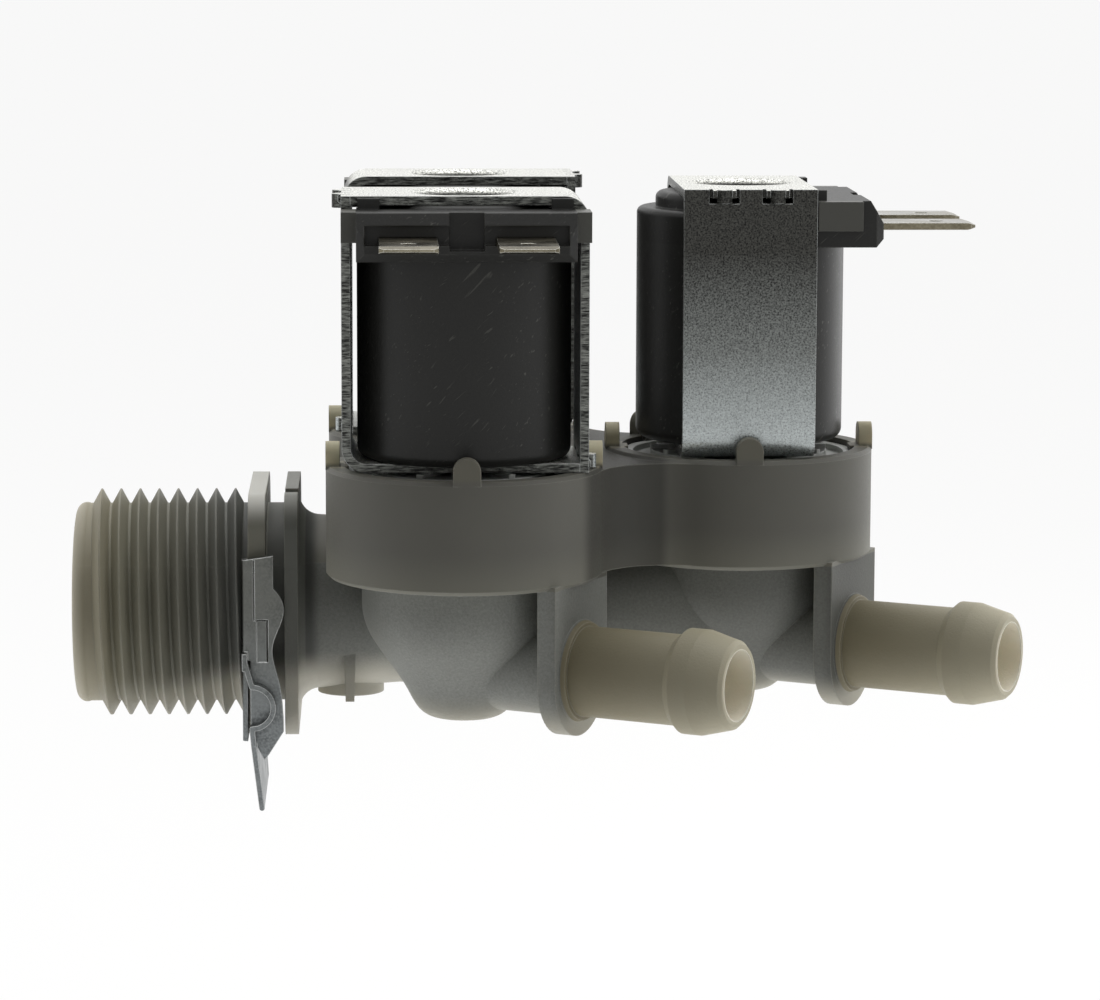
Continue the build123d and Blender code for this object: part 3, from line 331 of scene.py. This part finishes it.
    # painted light: each outlet grows paler towards its tip and near white in its bore, as if lit through the thin wall
    for _, (x, y), angle in values["valves"]:
        spout = {
            "Point": point,
            "Foot": (x, y, values["outletHeight"]),
            "Direction": (cos(radians(angle)), sin(radians(angle)), 0),
            "Start": values["outletStart"],
            "End": values["outletEnd"],
        }
        outlet = useGroup(tree, sleeve, {**spout, "Radius": values["outletSleeve"]})
        late = mathNode(tree, "POWER", outlet["Along"], 1.4)
        shade = mixColour(tree, late, values["outletRoot"], values["outletTipLit"])
        bore = useGroup(tree, sleeve, {**spout, "Radius": values["boreSleeve"]})
        shade = mixColour(tree, bore["Inside"], shade, values["outletBoreLit"])
        colour = mixColour(tree, outlet["Inside"], colour, shade)

    lightness = mapRange(tree, drift, 0.0, 1.0, 0.84, 1.16, smooth=False)
    tint = addNode(tree, "ShaderNodeCombineColor", {0: lightness, 1: lightness, 2: lightness})
    colour = mixColour(tree, 1.0, colour, tint.outputs[0], "MULTIPLY")
    edge = useGroup(tree, edgeLine, {"Width": 0.00022, "Strength": 0.5})
    colour = mixColour(tree, edge["Line"], colour, values["edge"])
    tree.links.new(colour, shader.inputs["Base Color"])

    smoothest, roughest = values["roughness"] - 0.06, values["roughness"] + 0.12
    rough = mapRange(tree, grain["Speckle"], 0.0, 1.0, smoothest, roughest, smooth=False)
    tree.links.new(rough, shader.inputs["Roughness"])
    blasted = mathNode(tree, "MULTIPLY", grain["Height"], mapRange(tree, below, 0.0, 1.0, 0.12, 1.0, smooth=False))
    normal = bumpNode(tree, blasted, values["grainDepth"], 0.7, edge["Normal"])
    tree.links.new(normal, shader.inputs["Normal"])
    shader.inputs["Specular IOR Level"].default_value = 0.3
    shader.inputs["Subsurface Weight"].default_value = 0.12
    shader.inputs["Subsurface Radius"].default_value = (0.0012, 0.001, 0.0008)
    shader.inputs["Subsurface Scale"].default_value = 1.0
    return material


# bonnet, strainer and inserts: paler moulded nylon
paleNylon = {
    "base": paint(208, 210, 205),
    "dark": paint(150, 152, 148),
    "edge": paint(230, 231, 226),
    "smoothest": 0.3,
    "roughest": 0.46,
}


def makePaleNylon(values):
    material, tree, shader, point = newMaterial("paleNylon")
    drift = useGroup(tree, shadeDrift, {"Point": point, "Size": 0.006, "Amount": 1.4})["Shade"]
    grain = useGroup(tree, mouldGrain, {"Point": point, "Size": 0.0003, "Contrast": 1.0})
    colour = mixColour(tree, drift, values["dark"], values["base"])
    edge = useGroup(tree, edgeLine, {"Width": 0.00025, "Strength": 0.8})
    colour = mixColour(tree, edge["Line"], colour, values["edge"])
    tree.links.new(colour, shader.inputs["Base Color"])
    rough = mapRange(tree, grain["Speckle"], 0.0, 1.0, values["smoothest"], values["roughest"], smooth=False)
    tree.links.new(rough, shader.inputs["Roughness"])
    tree.links.new(bumpNode(tree, grain["Height"], 0.00002, 0.4, edge["Normal"]), shader.inputs["Normal"])
    return material


# coil and its housing: black plastic with fine slanting scratches, greyer on the housing's wings
coilPlastic = {
    "coil": paint(27, 27, 26),
    "housing": paint(19, 19, 18),
    "wing": paint(90, 90, 85),
    "scuff": paint(108, 108, 103),
    "worn": paint(104, 104, 98),
    "housingBottom": 0.04215,
    "wingBottom": 0.0441,
    "wingInner": 0.01198,
    "wingOuter": 0.0145,
    "pairX": 0.04448,
    "turnedX": 0.064,
    "lean": -0.75,
    "smoothest": 0.3,
    "roughest": 0.52,
}


def makeCoilPlastic(values):
    material, tree, shader, point = newMaterial("coilPlastic")
    place = addNode(tree, "ShaderNodeSeparateXYZ", {"Vector": point}).outputs
    grain = useGroup(tree, mouldGrain, {"Point": point, "Size": 0.00022, "Contrast": 1.2})
    drift = useGroup(tree, shadeDrift, {"Point": point, "Size": 0.01, "Amount": 1.3})["Shade"]
    onHousing = mapRange(tree, place["Z"], values["housingBottom"], values["housingBottom"] + 0.0002)
    base = mixColour(tree, onHousing, values["coil"], values["housing"])

    # wings stand out sideways: along X on the pair of coils, along Y on the turned one
    sideways = mathNode(tree, "ABSOLUTE", mathNode(tree, "SUBTRACT", place["X"], values["pairX"]))
    turned = mathNode(tree, "GREATER_THAN", place["X"], values["turnedX"])
    reach = addNode(tree, "ShaderNodeMix", {0: turned, 2: sideways}, data_type="FLOAT")
    tree.links.new(mathNode(tree, "ABSOLUTE", place["Y"]), reach.inputs[3])
    beyond = mathNode(tree, "GREATER_THAN", reach.outputs[0], values["wingInner"])
    within = mathNode(tree, "LESS_THAN", reach.outputs[0], values["wingOuter"])
    high = mathNode(tree, "GREATER_THAN", place["Z"], values["wingBottom"] - 0.0001)
    onWing = mathNode(tree, "MULTIPLY", mathNode(tree, "MULTIPLY", beyond, within), high)
    base = mixColour(tree, onWing, base, values["wing"])

    speckled = mixColour(tree, mathNode(tree, "MULTIPLY", grain["Speckle"], 0.1), base, values["scuff"])
    lighter = mixColour(tree, mathNode(tree, "MULTIPLY", drift, 0.05), speckled, values["scuff"])
    long = {"Point": point, "Lean": values["lean"], "Spacing": 0.0004, "Amount": 0.5}
    short = {"Point": point, "Lean": values["lean"] - 0.15, "Spacing": 0.00022, "Amount": 0.4}
    colour = mixColour(tree, useGroup(tree, scuffs, long)["Mask"], lighter, values["scuff"])
    colour = mixColour(tree, useGroup(tree, scuffs, short)["Mask"], colour, values["scuff"])
    edge = useGroup(tree, edgeLine, {"Width": 0.00025, "Strength": 0.5})
    broken = mathNode(tree, "MULTIPLY", edge["Line"], mapRange(tree, drift, 0.35, 0.65))
    colour = mixColour(tree, broken, colour, values["worn"])
    tree.links.new(colour, shader.inputs["Base Color"])
    rough = mapRange(tree, grain["Speckle"], 0.0, 1.0, values["smoothest"], values["roughest"], smooth=False)
    tree.links.new(rough, shader.inputs["Roughness"])
    shader.inputs["Specular IOR Level"].default_value = 0.25
    normal = bumpNode(tree, mathNode(tree, "MULTIPLY", grain["Height"], 0.25), 0.00008, 0.6, edge["Normal"])
    tree.links.new(normal, shader.inputs["Normal"])
    return material


# coil frames: zinc-plated sheet, grainy most of all at the top of each leg; painted reflection makes each leg dark at
# its top and pale blue-grey at its foot
zincPlate = {
    # painted reflection: leg colours from dark top to pale foot, and the pale upward plate faces
    "legTopReflection": paint(54, 54, 51),
    "legMiddleReflection": paint(112, 115, 113),
    "legFootReflection": paint(180, 186, 186),
    "plate": paint(222, 222, 215),
    "plateDull": paint(150, 152, 148),
    "cutDark": paint(20, 20, 19),
    "cutPale": paint(126, 128, 123),
    "edge": paint(232, 235, 234),
    "legTopZ": 0.0418,
    "legMiddleZ": 0.0304,
    "legFootZ": 0.0195,
    "grainSize": 0.0002,
    "shearSize": 0.00016,
    "roughness": 0.34,
}


# the sheet's cut edges face along Y on the pair of frames and along X on the turned one
def makeZincPlate(name, values, cutAxis):
    material, tree, shader, point = newMaterial(name)
    place = addNode(tree, "ShaderNodeSeparateXYZ", {"Vector": point}).outputs
    facing = addNode(tree, "ShaderNodeNewGeometry").outputs["Normal"]
    facing = addNode(tree, "ShaderNodeSeparateXYZ", {"Vector": facing}).outputs
    grain = useGroup(tree, mouldGrain, {"Point": point, "Size": values["grainSize"], "Contrast": 4.0})
    drift = useGroup(tree, shadeDrift, {"Point": point, "Size": 0.009, "Amount": 1.2})["Shade"]
    # painted reflection: each leg darkens from its foot to its top
    low = mapRange(tree, place["Z"], values["legFootZ"], values["legMiddleZ"], smooth=False)
    legReflection = mixColour(tree, low, values["legFootReflection"], values["legMiddleReflection"])
    high = mapRange(tree, place["Z"], values["legMiddleZ"], values["legTopZ"], smooth=False)
    legReflection = mixColour(tree, high, legReflection, values["legTopReflection"])

    # painted reflection: faces turned upward take the pale plate colour, as if catching the bright light above
    onTop = mapRange(tree, facing["Z"], 0.5, 0.9)
    dull = mathNode(tree, "MULTIPLY", drift, 0.3)
    colour = mixColour(tree, onTop, legReflection, mixColour(tree, dull, values["plate"], values["plateDull"]))

    # sandy grain, strongest at the top of the legs
    spread = mapRange(tree, place["Z"], values["legFootZ"], values["legTopZ"], 0.3, 0.85)
    away = mathNode(tree, "MULTIPLY", mathNode(tree, "SUBTRACT", grain["Speckle"], 0.5), 2.0)
    lightness = mathNode(tree, "ADD", mathNode(tree, "MULTIPLY", away, spread), 1.0)
    tint = addNode(tree, "ShaderNodeCombineColor", {0: lightness, 1: lightness, 2: lightness})
    colour = mixColour(tree, 1.0, colour, tint.outputs[0], "MULTIPLY")

    # shear marks across the cut edges
    squeezed = addNode(tree, "ShaderNodeMapping", {"Vector": point, "Scale": (0.15, 0.15, 1.0)})
    shearInputs = {"Vector": squeezed.outputs["Vector"], "Scale": 1.0 / values["shearSize"], "Detail": 2.0}
    shear = addNode(tree, "ShaderNodeTexNoise", shearInputs).outputs["Fac"]
    cut = mixColour(tree, mapRange(tree, shear, 0.3, 0.74), values["cutDark"], values["cutPale"])
    onCut = mapRange(tree, mathNode(tree, "ABSOLUTE", facing[cutAxis]), 0.7, 0.9)
    colour = mixColour(tree, onCut, colour, cut)

    edge = useGroup(tree, edgeLine, {"Width": 0.00016, "Strength": 0.6})
    colour = mixColour(tree, edge["Line"], colour, values["edge"])
    tree.links.new(colour, shader.inputs["Base Color"])
    shader.inputs["Metallic"].default_value = 0.75
    smoothest, roughest = values["roughness"] - 0.08, values["roughness"] + 0.16
    rough = mapRange(tree, grain["Speckle"], 0.0, 1.0, smoothest, roughest, smooth=False)
    tree.links.new(rough, shader.inputs["Roughness"])
    depth = mapRange(tree, place["Z"], values["legFootZ"], values["legTopZ"], 0.3, 1.0)
    height = mathNode(tree, "MULTIPLY", grain["Height"], depth)
    tree.links.new(bumpNode(tree, height, 0.00005, 0.6, edge["Normal"]), shader.inputs["Normal"])
    return material


# bare metals that differ only in tone
spadeTin = {"light": paint(148, 142, 123), "dark": paint(70, 63, 46), "roughness": 0.22, "grainSize": 0.0003}
turnedSteel = {"light": paint(170, 170, 168), "dark": paint(120, 120, 118), "roughness": 0.3, "grainSize": 0.0003}


def makeMetal(name, values):
    material, tree, shader, point = newMaterial(name)
    grain = useGroup(tree, mouldGrain, {"Point": point, "Size": values["grainSize"], "Contrast": 1.8})
    drift = useGroup(tree, shadeDrift, {"Point": point, "Size": 0.004, "Amount": 1.6})["Shade"]
    mottled = mathNode(tree, "MULTIPLY", mathNode(tree, "ADD", grain["Speckle"], drift), 0.5)
    colour = mixColour(tree, mottled, values["dark"], values["light"])
    edge = useGroup(tree, edgeLine, {"Width": 0.00015, "Strength": 0.7})
    colour = mixColour(tree, edge["Line"], colour, paint(236, 236, 230))
    tree.links.new(colour, shader.inputs["Base Color"])
    shader.inputs["Metallic"].default_value = 0.9
    smoothest, roughest = values["roughness"] - 0.1, values["roughness"] + 0.1
    tree.links.new(mapRange(tree, drift, 0.0, 1.0, smoothest, roughest, smooth=False), shader.inputs["Roughness"])
    tree.links.new(bumpNode(tree, grain["Height"], 0.00003, 0.4, edge["Normal"]), shader.inputs["Normal"])
    return material


# mounting clip: spring steel, darker beside the flange, paler down its tongue
clipSteel = {
    "wall": paint(96, 97, 93),
    "tongue": paint(126, 130, 131),
    "mottle": paint(48, 50, 49),
    "edge": paint(226, 228, 226),
    "wallZ": 0.003,
    "tongueZ": -0.016,
    "roughness": 0.34,
}


def makeClipSteel(values):
    material, tree, shader, point = newMaterial("clipSteel")
    place = addNode(tree, "ShaderNodeSeparateXYZ", {"Vector": point}).outputs
    grain = useGroup(tree, mouldGrain, {"Point": point, "Size": 0.00028, "Contrast": 4.5})
    drift = useGroup(tree, shadeDrift, {"Point": point, "Size": 0.003, "Amount": 1.8})["Shade"]
    down = mapRange(tree, place["Z"], values["wallZ"], values["tongueZ"])
    tone = mixColour(tree, down, values["wall"], values["tongue"])
    mottled = mathNode(tree, "MULTIPLY", mathNode(tree, "MULTIPLY", grain["Speckle"], drift), 0.7)
    colour = mixColour(tree, mottled, tone, values["mottle"])
    edge = useGroup(tree, edgeLine, {"Width": 0.0002, "Strength": 0.8})
    colour = mixColour(tree, edge["Line"], colour, values["edge"])
    tree.links.new(colour, shader.inputs["Base Color"])
    shader.inputs["Metallic"].default_value = 0.85
    smoothest, roughest = values["roughness"] - 0.1, values["roughness"] + 0.12
    tree.links.new(mapRange(tree, drift, 0.0, 1.0, smoothest, roughest, smooth=False), shader.inputs["Roughness"])
    tree.links.new(bumpNode(tree, grain["Height"], 0.00003, 0.4, edge["Normal"]), shader.inputs["Normal"])
    return material


# diaphragms, seals and flow restrictors
def makeBlackRubber():
    material, tree, shader, point = newMaterial("blackRubber")
    grain = useGroup(tree, mouldGrain, {"Point": point, "Size": 0.0002, "Contrast": 1.0})
    colour = mixColour(tree, grain["Speckle"], paint(24, 24, 24), paint(52, 52, 50))
    tree.links.new(colour, shader.inputs["Base Color"])
    shader.inputs["Roughness"].default_value = 0.7
    tree.links.new(bumpNode(tree, grain["Height"], 0.00003, 0.5), shader.inputs["Normal"])
    return material


finishes = {
    "body": makeBodyNylon(bodyNylon),
    "pale": makePaleNylon(paleNylon),
    "coil": makeCoilPlastic(coilPlastic),
    "zinc": makeZincPlate("zincPlate", zincPlate, "Y"),
    "zincTurned": makeZincPlate("zincPlateTurned", zincPlate, "X"),
    "spade": makeMetal("spadeTin", spadeTin),
    "clip": makeClipSteel(clipSteel),
    "steel": makeMetal("turnedSteel", turnedSteel),
    "rubber": makeBlackRubber(),
}
print("finishes ready")

# which finish each part takes, by the end of its name
finishOf = {
    "valve_body": "body",
    "inlet_strainer": "pale",
    "mounting_clip": "clip",
    "bonnet": "pale",
    "frame_upper": "zinc",
    "frame_lower": "zinc",
    "coil": "coil",
    "terminal_left": "spade",
    "terminal_right": "spade",
    "plunger": "steel",
    "plunger_seal": "rubber",
    "plunger_spring": "steel",
    "diaphragm": "rubber",
    "diaphragm_insert": "pale",
    "flow_restrictor": "rubber",
}


def dressParts():
    for name, part in parts.items():
        ending = max((end for end in finishOf if name.endswith(end)), key=len)
        part.data.materials.clear()
        finish = finishOf[ending]
        if finish == "zinc" and name.startswith("right"):
            finish = "zincTurned"
        part.data.materials.append(finishes[finish])


dressParts()
print("parts dressed")


# camera as the photograph was taken
photoCamera = {
    "place": (0.0346537, -0.4692585, 0.07986),
    "turn": (81.7494, -0.1701, -2.4391),
    "lens": 133.396,
    "sensor": 36.0,
}


def makeCamera(values):
    data = bpy.data.cameras.new("photoCamera")
    data.lens = values["lens"]
    data.sensor_width = values["sensor"]
    data.clip_start = 0.01
    data.clip_end = 20
    camera = bpy.data.objects.new("photoCamera", data)
    camera.location = values["place"]
    camera.rotation_euler = [radians(angle) for angle in values["turn"]]
    bpy.context.scene.collection.objects.link(camera)
    bpy.context.scene.camera = camera


makeCamera(photoCamera)


# white studio: bright behind, above and below, darker where the photographer stands
studio = {
    "frontLevel": 0.1,
    "backLevel": 1.15,
    "frontFrom": -0.55,
    "backFrom": 0.25,
    "brightSide": (0.42, 0.9, 0.1),
    "floorHeight": -0.12,
    "floorHalf": 10.0,
    "floorFront": -0.16,
    "floorColour": (0.9, 0.9, 0.89, 1.0),
    "floorGlow": 0.55,
    "floorGlowSeen": 0.8,
    "floorStrength": 1.5,
    "lamps": (
        ("topLamp", (0.05, 0.15, 0.75), 0.8, 2.8),
        ("rightLamp", (0.55, 0.42, 0.15), 0.5, 0.8),
    ),
    "aim": (0.055, 0.0, 0.015),
}


# rays that see the background: straight from the camera, or off metal and through clear parts
def seenRays(tree):
    path = addNode(tree, "ShaderNodeLightPath").outputs
    direct = mathNode(tree, "MAXIMUM", path["Is Camera Ray"], path["Is Transmission Ray"])
    return mathNode(tree, "MAXIMUM", direct, path["Is Glossy Ray"])


def makeWorld(values):
    world = bpy.data.worlds.new("studioWorld")
    world.use_nodes = True
    bpy.context.scene.world = world
    tree = world.node_tree
    tree.nodes.clear()
    direction = addNode(tree, "ShaderNodeTexCoord").outputs["Generated"]
    facing = vectorMath(tree, "DOT_PRODUCT", direction, values["brightSide"], "Value")
    level = mapRange(tree, facing, values["frontFrom"], values["backFrom"], values["frontLevel"], values["backLevel"])
    strength = addNode(tree, "ShaderNodeMix", {0: seenRays(tree), 2: level, 3: 1.0}, data_type="FLOAT").outputs[0]
    background = addNode(tree, "ShaderNodeBackground", {"Color": (1, 1, 1, 1), "Strength": strength})
    addNode(tree, "ShaderNodeOutputWorld", {"Surface": background.outputs["Background"]})


def makeFloor(values):
    half, front = values["floorHalf"], values["floorFront"]
    data = bpy.data.meshes.new("studioFloor")
    corners = [(-half, front, 0), (half, front, 0), (half, half, 0), (-half, half, 0)]
    data.from_pydata(corners, [], [(0, 1, 2, 3)])
    floor = bpy.data.objects.new("studioFloor", data)
    floor.location = (0, 0, values["floorHeight"])
    bpy.context.scene.collection.objects.link(floor)
    material = bpy.data.materials.new("studioWhite")
    material.use_nodes = True
    tree = material.node_tree
    tree.nodes.clear()
    matt = addNode(tree, "ShaderNodeBsdfDiffuse", {"Color": values["floorColour"]})
    seen = seenRays(tree)
    strength = addNode(tree, "ShaderNodeMix", {0: seen, 2: values["floorStrength"], 3: 1.0}, data_type="FLOAT")
    white = addNode(tree, "ShaderNodeEmission", {"Color": (1, 1, 1, 1), "Strength": strength.outputs[0]})
    share = {0: seen, 2: values["floorGlow"], 3: values["floorGlowSeen"]}
    glow = addNode(tree, "ShaderNodeMix", share, data_type="FLOAT").outputs[0]
    both = addNode(tree, "ShaderNodeMixShader", {0: glow, 1: matt.outputs[0], 2: white.outputs[0]})
    addNode(tree, "ShaderNodeOutputMaterial", {"Surface": both.outputs[0]})
    data.materials.append(material)


def makeLamps(values):
    for name, place, size, power in values["lamps"]:
        data = bpy.data.lights.new(name, "AREA")
        data.shape = "SQUARE"
        data.size = size
        data.energy = power
        lamp = bpy.data.objects.new(name, data)
        lamp.location = place
        lamp.rotation_mode = "QUATERNION"
        lamp.rotation_quaternion = (Vector(values["aim"]) - Vector(place)).to_track_quat("-Z", "Y")
        bpy.context.scene.collection.objects.link(lamp)


makeWorld(studio)
makeFloor(studio)
makeLamps(studio)
bpy.context.scene.view_settings.view_transform = "Standard"
print("studio ready")
